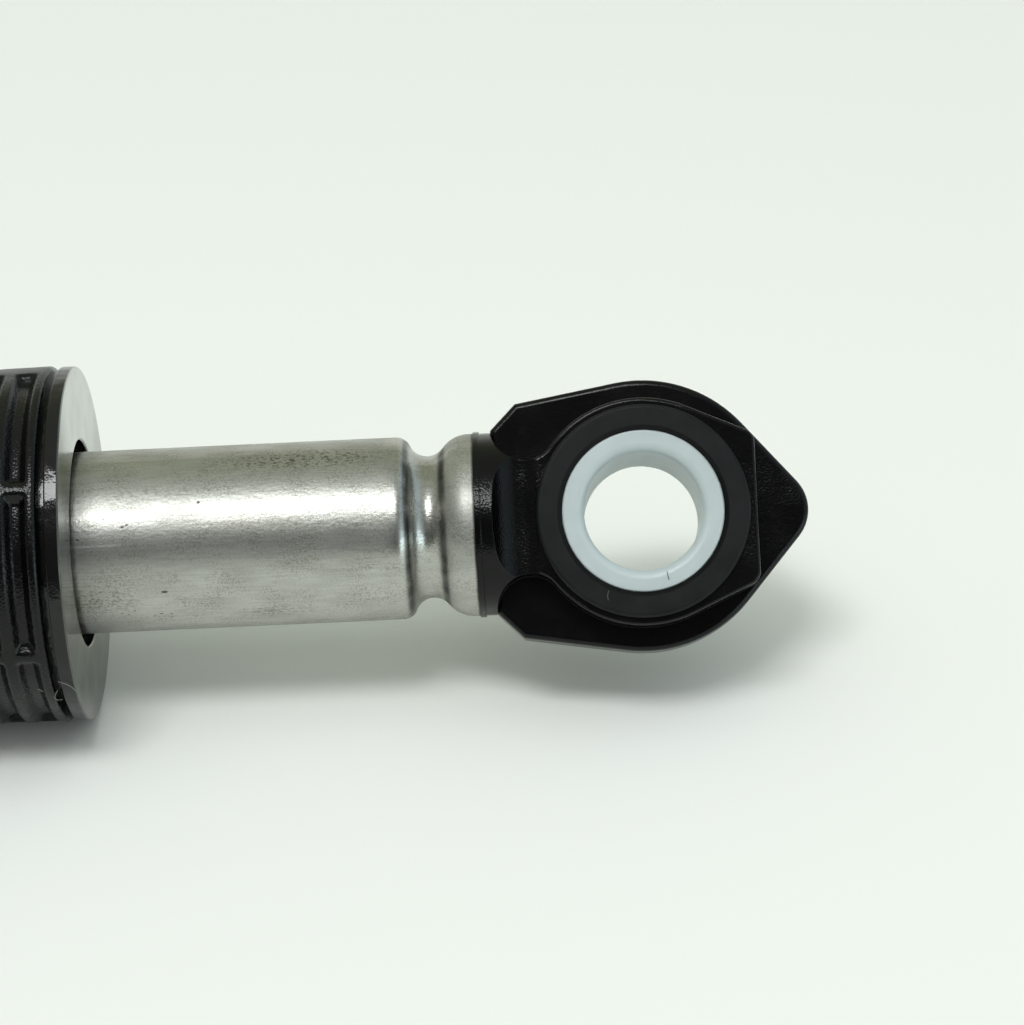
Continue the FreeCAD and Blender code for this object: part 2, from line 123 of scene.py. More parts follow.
class Graph:
    """Adds nodes to one node tree and links them."""

    def __init__(self, tree: Tree) -> None:
        """Keep the tree that nodes are added to."""
        self.tree = tree

    def add(self, kind: str, **settings: object) -> Node:
        """Add one node.

        Args:
            kind: The node's type name.
            settings: Properties to set on the node.

        Returns:
            The new node.
        """
        node = self.tree.nodes.new(kind)
        for name, value in settings.items():
            setattr(node, name, value)
        return node

    def feed(self, socket: Socket, value: Value) -> None:
        """Link a socket to another socket, or set its own value.

        Args:
            socket: The input to fill.
            value: A number, a tuple or an output socket.
        """
        if isinstance(value, Socket):
            self.tree.links.new(value, socket)
        else:
            socket.default_value = value

    def fill(self, node: Node, *values: Value, **named: Value) -> Node:
        """Fill a node's inputs.

        Args:
            node: The node to fill.
            values: Values for its first inputs, in order.
            named: Values by the input's name, with underscores for spaces.

        Returns:
            The same node.
        """
        for socket, value in zip(node.inputs, values):
            self.feed(socket, value)
        for name, value in named.items():
            self.feed(node.inputs[name.replace("_", " ")], value)
        return node

    def math(self, operation: str, *values: Value) -> Socket:
        """Work out a value with a math node."""
        return self.fill(self.add("ShaderNodeMath", operation=operation), *values).outputs[0]

    def times(self, first: Value, second: Value) -> Socket:
        """Multiply two values."""
        return self.math("MULTIPLY", first, second)

    def plus(self, first: Value, second: Value) -> Socket:
        """Add two values."""
        return self.math("ADD", first, second)

    def minus(self, first: Value, second: Value) -> Socket:
        """Take the second value from the first."""
        return self.math("SUBTRACT", first, second)

    def half(self, value: Value) -> Socket:
        """Halve a value."""
        return self.math("DIVIDE", value, 2.0)

    def gap(self, first: Value, second: Value) -> Socket:
        """Find how far two values lie apart."""
        return self.math("ABSOLUTE", self.minus(first, second))

    def length(self, first: Value, second: Value) -> Socket:
        """Find the length of two parts at right angles."""
        squares = [self.math("POWER", part, 2.0) for part in (first, second)]
        return self.math("SQRT", self.plus(*squares))

    def bearing(self, across: Value, up: Value) -> Socket:
        """Find the angle round the damper's axis: 0 towards -Y and a quarter turn upwards."""
        return self.math("ARCTAN2", up, self.times(across, -1.0))

    def most(self, *values: Value) -> Socket:
        """Find the largest of several masks, none of them below 0."""
        return reduce(lambda most, value: self.math("MAXIMUM", most, value), values, 0.0)

    def step(self, value: Value, low: Value, high: Value, start: Value = 0.0,
             end: Value = 1.0) -> Socket:
        """Ease from a start to an end value while the input passes from low to high."""
        node = self.add("ShaderNodeMapRange", interpolation_type="SMOOTHSTEP")
        return self.fill(node, value, low, high, start, end).outputs[0]

    def spread(self, tone: Value, middle: float, below: float, above: float) -> Socket:
        """Vary a value about its middle with an uneven tone."""
        return self.step(tone, *WIDE, middle - below, middle + above)

    def mix(self, factor: Value, first: Value, second: Value) -> Socket:
        """Mix two colours.

        Args:
            factor: Share of the second colour.
            first: The colour at factor 0.
            second: The colour at factor 1.

        Returns:
            The mixed colour.
        """
        node = self.add("ShaderNodeMix", data_type="RGBA")
        for index, value in ((0, factor), (6, first), (7, second)):
            self.feed(node.inputs[index], opaque(value) if isinstance(value, tuple) else value)
        return node.outputs[2]

    def texture(self, kind: str, place: Value, scale: Value, **named: Value) -> Node:
        """Add a noise or cell texture and fill its inputs."""
        return self.fill(self.add("ShaderNodeTex" + kind), Vector=place, Scale=scale, **named)

    def noise(self, place: Value, period: float, detail: float = 2.0) -> Socket:
        """Noise from 0 to 1, with spots of about one period in metres and some finer layers."""
        return self.texture("Noise", place, 1 / period, Detail=detail).outputs[0]

    def vector(self, operation: str, *values: Value) -> Node:
        """Add a vector math node and fill its inputs in order."""
        return self.fill(self.add("ShaderNodeVectorMath", operation=operation), *values)

    def scaled(self, vector: Value, *factors: float) -> Socket:
        """Multiply a vector by a factor on each axis."""
        return self.vector("MULTIPLY", vector, factors).outputs[0]

    def split(self, vector: Value) -> List[Socket]:
        """Split a vector into its three parts."""
        return list(self.fill(self.add("ShaderNodeSeparateXYZ"), vector).outputs)

    def seen_by(self, *rays: str) -> Socket:
        """Give 1 for a ray of the named kinds of the Light Path node, and 0 for others."""
        path = self.add("ShaderNodeLightPath")
        return self.most(*(path.outputs[ray] for ray in rays))

    def group(self, tree: Tree, **values: Value) -> Node:
        """Place a shared node group and fill its inputs by name."""
        return self.fill(self.add("ShaderNodeGroup", node_tree=tree), **values)


def floats(*names: str) -> Dict[str, Kind]:
    """List sockets that hold plain numbers."""
    return {name: Kind.FLOAT for name in names}


def new_tree(name: str, kind: str, inputs: Dict[str, Kind],
             outputs: Dict[str, Kind]) -> Tuple[Graph, Node, Node]:
    """Make an empty node group with named sockets.

    Args:
        name: The group's name.
        kind: The tree type.
        inputs: Socket types by input name.
        outputs: Socket types by output name.

    Returns:
        The graph, its input node and its output node.
    """
    tree = bpy.data.node_groups.new(name, kind)
    for direction, sockets in (("INPUT", inputs), ("OUTPUT", outputs)):
        for label, socket in sockets.items():
            tree.interface.new_socket(label, in_out=direction, socket_type=socket.value)
    graph = Graph(tree)
    return graph, graph.add("NodeGroupInput"), graph.add("NodeGroupOutput")


class Effects:
    """Shader effects that several finishes share, each a node group made once."""

    def __init__(self) -> None:
        """Make every group."""
        self.round_axis = self.make_round_axis()
        self.grain = self.make_grain()
        self.pits = self.make_pits()
        self.dust = self.make_dust()

    @staticmethod
    def make_round_axis() -> Tree:
        """Coordinates along the damper's axis, round it and out from it.

        Returns:
            The node group.
        """
        graph, given, out = new_tree(
            "Round the axis", SHADER, {"Vector": Kind.VECTOR, "Radius": Kind.FLOAT},
            {**floats("Along", "Bearing"), "Unrolled": Kind.VECTOR})
        along, across, up = graph.split(given.outputs["Vector"])
        bearing = graph.bearing(across, up)
        unrolled = graph.fill(graph.add("ShaderNodeCombineXYZ"), X=along, Z=graph.length(across, up),
                              Y=graph.times(bearing, given.outputs["Radius"]))
        graph.fill(out, Along=along, Bearing=bearing, Unrolled=unrolled.outputs[0])
        return graph.tree

    @staticmethod
    def make_grain() -> Tree:
        """Pebbled grain, stronger in patches: a height, a fine speckle and an uneven tone.

        Returns:
            The node group.
        """
        graph, given, out = new_tree(
            "Grain", SHADER, {"Vector": Kind.VECTOR, **floats("Fine", "Coarse")},
            floats("Height", "Speckle", "Tone"))
        place, fine = given.outputs["Vector"], given.outputs["Fine"]
        pebbles = graph.add("ShaderNodeTexVoronoi", feature="SMOOTH_F1")
        graph.fill(pebbles, Vector=place, Scale=fine, Smoothness=0.35)
        speckle = graph.texture("Noise", place, fine, Detail=1.0).outputs[0]
        tone = graph.texture("Noise", place, given.outputs["Coarse"], Detail=2.0).outputs[0]
        patches = graph.step(tone, *WIDE, 0.45, 1.0)
        height = graph.times(graph.minus(0.5, pebbles.outputs["Distance"]), patches)
        graph.fill(out, Height=height, Speckle=speckle, Tone=tone)
        return graph.tree

    @staticmethod
    def make_pits() -> Tree:
        """Scattered small pits with ragged edges: a mask that is 1 in a pit.

        Returns:
            The node group.
        """
        graph, given, out = new_tree(
            "Pits", SHADER, {"Vector": Kind.VECTOR, **floats("Scale", "Share", "Width")},
            floats("Mask"))
        place, scale = given.outputs["Vector"], given.outputs["Scale"]
        ragged = 0.35
        wobble = graph.texture("Noise", place, scale, Detail=3.0).outputs[0]
        cells = graph.texture("Voronoi", place, scale)
        chance = graph.split(cells.outputs["Color"])[0]
        chosen = graph.math("LESS_THAN", chance, given.outputs["Share"])
        away = graph.plus(cells.outputs["Distance"], graph.times(wobble, ragged))
        reach = graph.plus(given.outputs["Width"], ragged / 2)
        spot = graph.step(away, graph.times(reach, 0.7), reach, 1.0, 0.0)
        graph.fill(out, Mask=graph.times(spot, chosen))
        return graph.tree

    @staticmethod
    def make_dust() -> Tree:
        """Fine pale dust, specks and haze in patches: a mask from 0 to 1.

        Returns:
            The node group.
        """
        graph, given, out = new_tree(
            "Dust", SHADER, {"Vector": Kind.VECTOR, "Amount": Kind.FLOAT}, floats("Mask"))
        place = given.outputs["Vector"]
        specks = graph.texture("Voronoi", place, 1 / (0.9 * MM))
        speck = graph.step(specks.outputs["Distance"], 0.05, 0.13, 1.0, 0.0)
        chosen = graph.math("LESS_THAN", graph.split(specks.outputs["Color"])[1], 0.16)
        patch = graph.step(graph.noise(place, 6 * MM), 0.42, 0.62)
        haze = graph.step(graph.noise(place, 0.7 * MM, 4.0), 0.45, 0.75, 0.0, 0.25)
        mask = graph.plus(graph.times(speck, chosen), graph.times(haze, patch))
        graph.fill(out, Mask=graph.times(mask, given.outputs["Amount"]))
        return graph.tree


@dataclass(frozen=True)
class Pits:
    """How far apart pits lie, the share of places that have one, and its width in that spacing."""

    period: float
    share: float
    width: float


class Paintwork:
    """One material under way: its graph, its shader and the coordinates it reads."""

    def __init__(self, name: str, effects: Effects) -> None:
        """Make the material with a Principled shader on Object coordinates.

        Args:
            name: The material's name.
            effects: The shared node groups.
        """
        self.effects = effects
        self.material = bpy.data.materials.new(name)
        self.material.use_nodes = True
        self.graph = Graph(self.material.node_tree)
        self.shader = self.material.node_tree.nodes["Principled BSDF"]
        self.place = self.graph.add("ShaderNodeTexCoord").outputs["Object"]

    def set(self, **values: Value) -> None:
        """Fill the shader's inputs by name."""
        self.graph.fill(self.shader, **values)

    def grain(self, fine: float, coarse: float) -> List[Socket]:
        """Grain with pebbles and patches of the given sizes: height, speckle and tone."""
        return list(self.graph.group(self.effects.grain, Vector=self.place, Fine=1 / fine,
                                     Coarse=1 / coarse).outputs)

    def pits(self, place: Value, pits: Pits) -> Socket:
        """Mask of scattered pits at the given coordinates."""
        return self.graph.group(self.effects.pits, Vector=place, Scale=1 / pits.period,
                                Share=pits.share, Width=pits.width).outputs[0]

    def dust(self, amount: float) -> Socket:
        """Mask of pale dust."""
        return self.graph.group(self.effects.dust, Vector=self.place, Amount=amount).outputs[0]

    def bump(self, height: Value, depth: float, edge: float = 0.0) -> None:
        """Give the surface a relief.

        Args:
            height: The height field, about one unit high.
            depth: What one unit stands for, in metres.
            edge: Radius that sharp edges look rounded by, in metres.
        """
        graph = self.graph
        relief = graph.fill(graph.add("ShaderNodeBump"), Height=height, Distance=depth, Strength=1.0)
        if edge:
            rounded = graph.fill(graph.add("ShaderNodeBevel", samples=4), Radius=edge)
            graph.fill(relief, Normal=rounded.outputs[0])
        self.set(Normal=relief.outputs[0])


class Around:
    """Coordinates round the damper's axis in one material."""

    def __init__(self, work: Paintwork, radius: float) -> None:
        """Place the shared group.

        Args:
            work: The material under way.
            radius: The radius at which lengths round the axis are true.
        """
        self.graph = work.graph
        node = self.graph.group(work.effects.round_axis, Vector=work.place, Radius=radius)
        self.along, self.bearing, self.unrolled = node.outputs

    def off(self, place: float) -> Socket:
        """Find how far a point lies from a place along the axis."""
        return self.graph.gap(self.along, place)

    def turned(self, bearing: float) -> Socket:
        """Find how far a point is turned from a bearing in degrees, in radians."""
        return self.graph.gap(self.bearing, math.radians(bearing))

    def drawn(self, share: float) -> Socket:
        """Coordinates for a pattern that is drawn out along the axis."""
        return self.graph.scaled(self.unrolled, share, 1.0, 1.0)

    def noise(self, share: float, period: float, detail: float) -> Socket:
        """Noise that is drawn out along the axis."""
        return self.graph.noise(self.drawn(share), period, detail)


@dataclass(frozen=True)
class Finish:
    """A finish that a material is made from."""

    name: str

    def build(self, effects: Effects) -> Material:
        """Make the material.

        Args:
            effects: The shared node groups.

        Returns:
            The finished material.
        """
        work = Paintwork(self.name, effects)
        self.paint(work)
        return work.material

    def paint(self, work: Paintwork) -> None:
        """Lay the finish on the material under way."""
        raise NotImplementedError(self.name)


@dataclass(frozen=True)
class Patch:
    """A soft patch on the rod: its run, its bearing and spread in degrees, and its strength."""

    start: float
    end: float
    bearing: float
    spread: float
    strength: float

    def mask(self, rod: Around) -> Socket:
        """Fade the patch in and out along and round the rod.

        Args:
            rod: Coordinates on the rod.

        Returns:
            A mask from 0 to the patch's strength.
        """
        graph, run = rod.graph, (self.end - self.start) / 3
        band = graph.step(rod.turned(self.bearing), 0.0, math.radians(self.spread), self.strength, 0.0)
        lead_in = graph.step(rod.along, self.start - run, self.start + run)
        lead_out = graph.step(rod.along, self.end - run, self.end + run / 2, 1.0, 0.0)
        return graph.times(band, graph.times(lead_in, lead_out))


@dataclass(frozen=True)
class BareSteel(Finish):
    """Bare drawn tube: axial draw lines, orange peel, rust pits, stains and a satin rolled end.

    Rings of painted shade are given by their place back from the tube's end and their half width, and
    marks by their place, their bearing in degrees and their half length.
    """

    name: str = "bare_steel"
    radius: float = 11 * MM
    colour: Colour = (0.53, 0.535, 0.505)
    stain_colour: Colour = (0.15, 0.135, 0.085)
    pit_colour: Colour = (0.05, 0.042, 0.03)
    # Colour of the wiper's dirt ring, which also carries painted shade of the gap at the disc.
    grime_and_shade_colour: Colour = (0.05, 0.046, 0.036)
    # Colour of the painted shade in the groove's walls and in the gap at the tube's edge.
    ring_shade_colour: Colour = (0.030, 0.031, 0.028)
    roughness: float = 0.41
    groove_roughness: float = 0.29
    crown_roughness: float = 0.51
    end: float = 217.05 * MM
    shoulder_back: float = 9.6 * MM
    crown_back: float = 4.0 * MM
    # Rings of painted shade: in the groove's two walls and in the gap at the tube's edge.
    shade_rings: Tuple[Tuple[float, float], ...] = (
        (8.05 * MM, 0.62 * MM), (3.85 * MM, 0.66 * MM), (0.0, 0.30 * MM))
    stains: Tuple[Patch, ...] = (
        Patch(188 * MM, 207 * MM, 84.0, 17.0, 1.0),
        Patch(168 * MM, 177 * MM, -9.0, 24.0, 0.6),
        Patch(189 * MM, 197 * MM, -25.0, 10.0, 0.5),
        Patch(172 * MM, 188 * MM, 62.0, 8.0, 0.4),
        Patch(184 * MM, 206 * MM, 36.0, 8.0, 0.5),
    )
    rust: Tuple[Patch, ...] = (
        Patch(170 * MM, 182 * MM, 40.0, 9.0, 1.0),
        Patch(169 * MM, 173 * MM, 32.0, 10.0, 1.0),
        Patch(190 * MM, 203 * MM, 82.0, 12.0, 0.8),
        Patch(170 * MM, 186 * MM, -22.0, 14.0, 0.7),
    )
    pits: Pits = Pits(1.5 * MM, 0.12, 0.07)
    rust_pits: Pits = Pits(0.8 * MM, 0.6, 0.25)
    pit_depth: float = 0.014 * MM
    marks: Tuple[Tuple[float, float, float], ...] = (
        (184.6 * MM, 53.5, 0.22 * MM), (180.0 * MM, -3.4, 0.46 * MM))
    mark_width: float = 0.2 * MM
    line_period: float = 0.16 * MM
    line_height: float = 0.003 * MM
    peel_period: float = 0.42 * MM
    peel_height: float = 0.024 * MM
    blotch_period: float = 2.6 * MM
    grain_period: float = 0.20 * MM
    tone_period: float = 3 * MM
    speckle_period: float = 0.30 * MM
    speckle_depth: float = 0.42
    streak_depth: float = 0.16
    scratch_bearing: float = 28.6
    scratch_end: float = 176 * MM
    scratch_width: float = 0.16 * MM
    # Run of the wiper's dirt ring and its painted gap shade, about the disc's face.
    grime_and_shade_start: float = 168.9 * MM
    grime_and_shade_end: float = 169.9 * MM

    def paint(self, work: Paintwork) -> None:
        """Lay the finish.

        Args:
            work: The material under way.
        """
        graph, rod = work.graph, Around(work, self.radius)
        lines = rod.noise(0.035, self.line_period, 3.0)
        peel = rod.noise(0.75, self.peel_period, 2.0)
        blotch = rod.noise(0.4, self.blotch_period, 4.0)
        speckle, tone = work.grain(self.grain_period, self.tone_period)[1:]
        stain = graph.times(graph.most(*(patch.mask(rod) for patch in self.stains)),
                            graph.step(rod.noise(0.7, self.speckle_period, 5.0), 0.44, 0.68))
        rust = graph.times(work.pits(rod.drawn(0.8), self.rust_pits),
                           graph.most(*(patch.mask(rod) for patch in self.rust)))
        pitted = graph.most(work.pits(rod.drawn(0.7), self.pits), rust, self.mark_mask(rod))
        plain = graph.mix(graph.step(blotch, 0.35, 0.7), self.colour, shade(self.colour, 0.88))
        uneven = graph.step(tone, *NARROW, 0.3, 1.0)
        freckles = graph.step(speckle, 0.42, 0.68, 0.0, self.speckle_depth)
        streaks = graph.step(lines, 0.40, 0.68, 0.0, self.streak_depth)
        darkened = graph.math("MULTIPLY_ADD", freckles, uneven, streaks)
        # Wiper's dirt with painted shade of the gap where the rod enters the disc.
        grime_and_shade_mask = graph.times(self.grime_and_gap_shade_mask(rod, peel), graph.step(blotch, 0.3, 0.6, 0.2, 0.6))
        colour = graph.mix(darkened, plain, self.stain_colour)
        # Stains, pits, the dirt ring with its painted gap shade, and the rings of painted shade.
        for mask, dirt_and_shade in ((stain, self.stain_colour), (graph.times(pitted, 0.85), self.pit_colour),
                           (grime_and_shade_mask, self.grime_and_shade_colour), (self.ring_shade_mask(rod, blotch), self.ring_shade_colour)):
            colour = graph.mix(mask, colour, dirt_and_shade)
        work.set(Metallic=1.0, Base_Color=colour, Roughness=self.roughness_map(rod, blotch, stain))
        height = graph.times(lines, self.line_height / MM)
        height = graph.math("MULTIPLY_ADD", peel, self.peel_height / MM, height)
        work.bump(graph.minus(height, graph.times(pitted, self.pit_depth / MM)), MM)

    def roughness_map(self, rod: Around, blotch: Value, stain: Value) -> Socket:
        """Satin along the run, glossier in the groove and rougher in stains and the scratch.

        Args:
            rod: Coordinates on the rod.
            blotch: Uneven tone of the surface.
            stain: The stains' mask.

        Returns:
            The roughness.
        """
        graph = rod.graph
        shoulder, crest = self.end - self.shoulder_back, self.end - self.crown_back
        groove = graph.step(rod.along, shoulder - 1.6 * MM, shoulder + 0.8 * MM, self.roughness,
                            self.groove_roughness)
        crown = graph.step(rod.along, crest - 1.2 * MM, crest + 0.6 * MM, 0.0,
                           self.crown_roughness - self.groove_roughness)
        rough = graph.plus(graph.plus(groove, crown), graph.step(blotch, 0.3, 0.75, -0.03, 0.05))
        rough = graph.math("MULTIPLY_ADD", stain, 0.15, rough)
        return graph.math("MULTIPLY_ADD", self.scratch_mask(rod), 0.22, rough)

    def mark_mask(self, rod: Around) -> Socket:
        """A few larger dents, each a small spot.

        Args:
            rod: Coordinates on the rod.

        Returns:
            A mask that is 1 in a dent.
        """
        graph, spots = rod.graph, []
        for place, bearing, reach in self.marks:
            off_along = graph.math("DIVIDE", rod.off(place), reach)
            off_round = graph.math("DIVIDE", rod.turned(bearing), self.mark_width / self.radius)
            spots.append(graph.step(graph.length(off_along, off_round), 0.6, 1.1, 1.0, 0.0))
        return graph.most(*spots)

    def grime_and_gap_shade_mask(self, rod: Around, ragged: Value) -> Socket:
        """Wiper's dirt ring with painted gap shade where the rod rests, with a ragged outer edge.

        Args:
            rod: Coordinates on the rod.
            ragged: What makes the edge uneven.

        Returns:
            A mask from 0 to 1.
        """
        graph, fade = rod.graph, 0.2 * MM
        reach = graph.math("MULTIPLY_ADD", ragged, -0.4 * MM, rod.along)
        start = graph.step(rod.along, self.grime_and_shade_start - fade, self.grime_and_shade_start + fade)
        return graph.times(start, graph.step(reach, self.grime_and_shade_end - 0.5 * MM, self.grime_and_shade_end, 1.0, 0.0))

    def ring_shade_mask(self, rod: Around, blotch: Value) -> Socket:
        """Painted shade in the rolled groove's walls and at the tube's edge, uneven round the tube."""
        rings = (rod.graph.step(rod.off(self.end - back), 0.15 * reach, reach, 1.0, 0.0)
                 for back, reach in self.shade_rings)
        return rod.graph.times(rod.graph.most(*rings), rod.graph.step(blotch, *WIDE, 0.6, 0.9))

    def scratch_mask(self, rod: Around) -> Socket:
        """One thin scratch along the rod, next to the disc.

        Args:
            rod: Coordinates on the rod.

        Returns:
            A mask from 0 to 1.
        """
        graph, width = rod.graph, self.scratch_width / self.radius
        thin = graph.step(rod.turned(self.scratch_bearing), 0.0, width, 1.0, 0.0)
        run = graph.step(rod.along, self.scratch_end - 2 * MM, self.scratch_end, 1.0, 0.0)
        return graph.times(thin, run)


@dataclass(frozen=True)
class DiscSteel(Finish):
    """Pressed disc: bright face with turned lines, a few pits and painted shade; glossy blackened rim.
    """

    name: str = "disc_steel"
    radius: float = 20 * MM
    colour: Colour = (0.435, 0.45, 0.435)
    rim_colour: Colour = (0.004, 0.004, 0.0042)
    # Colour of the painted shade on the face.
    grime_and_shade_colour: Colour = (0.13, 0.135, 0.122)
    pit_colour: Colour = (0.10, 0.09, 0.08)
    specular: float = 0.42
    face: float = 169.6 * MM
    face_roughness: float = 0.17
    rim_roughness: float = 0.13
    face_peel: float = 0.0016
    rim_peel: float = 0.014
    rim_wave: float = 0.12
    wave_period: float = 2.4 * MM
    line_period: float = 0.2 * MM
    line_height: float = 0.0008
    pits: Pits = Pits(1.3 * MM, 0.24, 0.19)
    pit_depth: float = 0.01
    # Painted shade for the rod's dark reflection: spans where the face darkens down and towards -Y.
    low_painted_shade: Tuple[float, float] = (-3 * MM, 13 * MM)
    front_painted_shade: Tuple[float, float] = (-7 * MM, -0.5 * MM)
    shade_ragged: float = 3 * MM

    def paint(self, work: Paintwork) -> None:
        """Lay the finish. Heights are in millimetres.

        Args:
            work: The material under way.
        """
        graph, disc = work.graph, Around(work, self.radius)
        on_face = graph.step(disc.along, self.face - 0.25 * MM, self.face - 0.05 * MM)
        lines = graph.noise(graph.scaled(disc.unrolled, 0.05, 0.05, 1.0), self.line_period)
        grain, _, tone = work.grain(0.3 * MM, 4 * MM)
        pits = work.pits(work.place, self.pits)
        across, up = graph.split(work.place)[1:]
        # Painted shade: darker towards the bottom and towards the camera, for the rod's dark reflection.
        ragged = graph.times(tone, self.shade_ragged)
        grime_and_shade_mask = graph.most(graph.step(graph.plus(up, ragged), *self.low_painted_shade, 1.0, 0.0),
                           graph.step(graph.plus(across, ragged), *self.front_painted_shade, 1.0, 0.0))
        steel = graph.mix(grime_and_shade_mask, self.colour, self.grime_and_shade_colour)
        steel = graph.mix(graph.times(pits, 0.8), steel, self.pit_colour)
        rough = graph.step(on_face, 0.0, 1.0, self.rim_roughness, self.face_roughness)
        work.set(Metallic=on_face, Base_Color=graph.mix(on_face, self.rim_colour, steel),
                 Roughness=graph.plus(rough, graph.step(tone, *WIDE, -0.03, 0.05)),
                 Specular_IOR_Level=self.specular)
        peel = graph.step(on_face, 0.0, 1.0, self.rim_peel, self.face_peel)
        height = graph.math("MULTIPLY_ADD", grain, peel, graph.times(lines, self.line_height))
        wave = graph.times(graph.noise(work.place, self.wave_period, 1.0),
                           graph.step(on_face, 0.0, 1.0, self.rim_wave, 0.0))
        height = graph.minus(graph.plus(height, wave), graph.times(pits, self.pit_depth))
        work.bump(height, MM)


@dataclass(frozen=True)
class MouldedBlack(Finish):
    """Black moulded plastic: fine grain, uneven gloss, softened edges and a little dust.

    Where web_side is set, the grain is weaker from web_start outwards in that direction.
    """

    colour: Colour = (0.0013, 0.0013, 0.0015)
    dust_colour: Colour = (0.10, 0.10, 0.095)
    roughness: float = 0.19
    gloss_spread: float = 0.08
    specular: float = 0.24
    grain_period: float = 0.25 * MM
    grain_height: float = 0.036 * MM
    tone_period: float = 7 * MM
    edge: float = 0.17 * MM
    dust: float = 0.08
    web_side: Sequence[float] = (0.0, 0.0, 0.0)
    web_start: float = 7.0 * MM
    web_grain: float = 0.3

    def paint(self, work: Paintwork) -> None:
        """Lay the finish.

        Args:
            work: The material under way.
        """
        graph, dust, spread = work.graph, work.dust(self.dust), self.gloss_spread / 2
        grain, _, tone = work.grain(self.grain_period, self.tone_period)
        uneven = graph.mix(graph.step(tone, *NARROW), self.colour, shade(self.colour, 1.5))
        gloss = graph.spread(tone, self.roughness, spread, spread)
        work.set(Base_Color=graph.mix(dust, uneven, self.dust_colour),
                 Roughness=graph.plus(gloss, graph.times(dust, 0.3)),
                 Specular_IOR_Level=self.specular)
        side = graph.vector("DOT_PRODUCT", work.place, self.web_side).outputs["Value"]
        share = graph.step(graph.math("ABSOLUTE", side), self.web_start - MM, self.web_start + MM,
                           1.0, self.web_grain)
        work.bump(graph.times(grain, share), self.grain_height, self.edge)


@dataclass(frozen=True)
class SatinPaint(Finish):
    """Satin black paint on the casing, with a little orange peel and faint axial rub marks."""

    name: str = "satin_paint"
    radius: float = 15 * MM
    colour: Colour = (0.014, 0.014, 0.015)
    rubbed_colour: Colour = (0.05, 0.05, 0.05)
    roughness: float = 0.36
    rub_period: float = 0.5 * MM
    patch_period: float = 14 * MM
    peel_period: float = 1.1 * MM
    peel_height: float = 0.006 * MM
    edge: float = 0.2 * MM

    def paint(self, work: Paintwork) -> None:
        """Lay the finish.

        Args:
            work: The material under way.
        """
        graph = work.graph
        rub = Around(work, self.radius).noise(0.05, self.rub_period, 3.0)
        patch = graph.noise(work.place, self.patch_period)
        rubbed = graph.times(graph.step(rub, 0.58, 0.72), graph.step(patch, 0.45, 0.65))
        rough = graph.spread(patch, self.roughness, 0.05, 0.06)
        work.set(Base_Color=graph.mix(graph.times(rubbed, 0.6), self.colour, self.rubbed_colour),
                 Roughness=graph.plus(rough, graph.times(rubbed, 0.12)))
        work.bump(graph.noise(work.place, self.peel_period), self.peel_height, self.edge)


@dataclass(frozen=True)
class Rubber(Finish):
    """Matte black rubber with a fine bloom, and a ring of painted shade by the bush where one is given.
    """

    name: str = "matte_rubber"
    colour: Colour = (0.0058, 0.0063, 0.0069)
    bloom_colour: Colour = (0.0095, 0.0102, 0.0110)
    # Colour of the painted shade in the gap next to the bush.
    gap_shade_colour: Colour = (0.0006, 0.0006, 0.0006)
    roughness: float = 0.5
    specular: float = 0.2
    grain_period: float = 0.22 * MM
    grain_height: float = 0.006 * MM
    tone_period: float = 3.5 * MM
    edge: float = 0.12 * MM
    dust: float = 0.12
    # Place of the bore, and the radius of the painted shade ring round it; no ring at radius 0.
    bore_centre: Sequence[float] = (0.0, 0.0, 0.0)
    bore_axis: Sequence[float] = (0.0, 1.0, 0.0)
    gap_shade_radius: float = 0.0

    def gap_shade_mask(self, graph: Graph, place: Value) -> Socket:
        """Find the ring of painted shade in the gap between the rubber and the bush in it.

        Args:
            graph: The material's graph.
            place: Coordinates in metres.

        Returns:
            A mask that is 1 next to the bush.
        """
        off, fade = graph.vector("SUBTRACT", place, self.bore_centre).outputs[0], 0.1 * MM
        along = graph.vector("DOT_PRODUCT", off, self.bore_axis).outputs["Value"]
        away = graph.vector("LENGTH", off).outputs["Value"]
        squared = graph.minus(graph.math("POWER", away, 2.0), graph.math("POWER", along, 2.0))
        return graph.step(graph.math("SQRT", squared), self.gap_shade_radius - fade, self.gap_shade_radius + fade, 1.0, 0.0)

    def paint(self, work: Paintwork) -> None:
        """Lay the finish.

        Args:
            work: The material under way.
        """
        graph = work.graph
        grain, _, tone = work.grain(self.grain_period, self.tone_period)
        bloom = graph.plus(graph.step(tone, *WIDE), work.dust(self.dust))
        colour = graph.mix(bloom, self.colour, self.bloom_colour)
        # Painted shade of the gap between the rubber and the bush.
        if self.gap_shade_radius:
            colour = graph.mix(self.gap_shade_mask(graph, work.place), colour, self.gap_shade_colour)
        work.set(Base_Color=colour, Roughness=graph.spread(tone, self.roughness, 0.05, 0.06),
                 Specular_IOR_Level=self.specular)
        work.bump(grain, self.grain_height, self.edge)


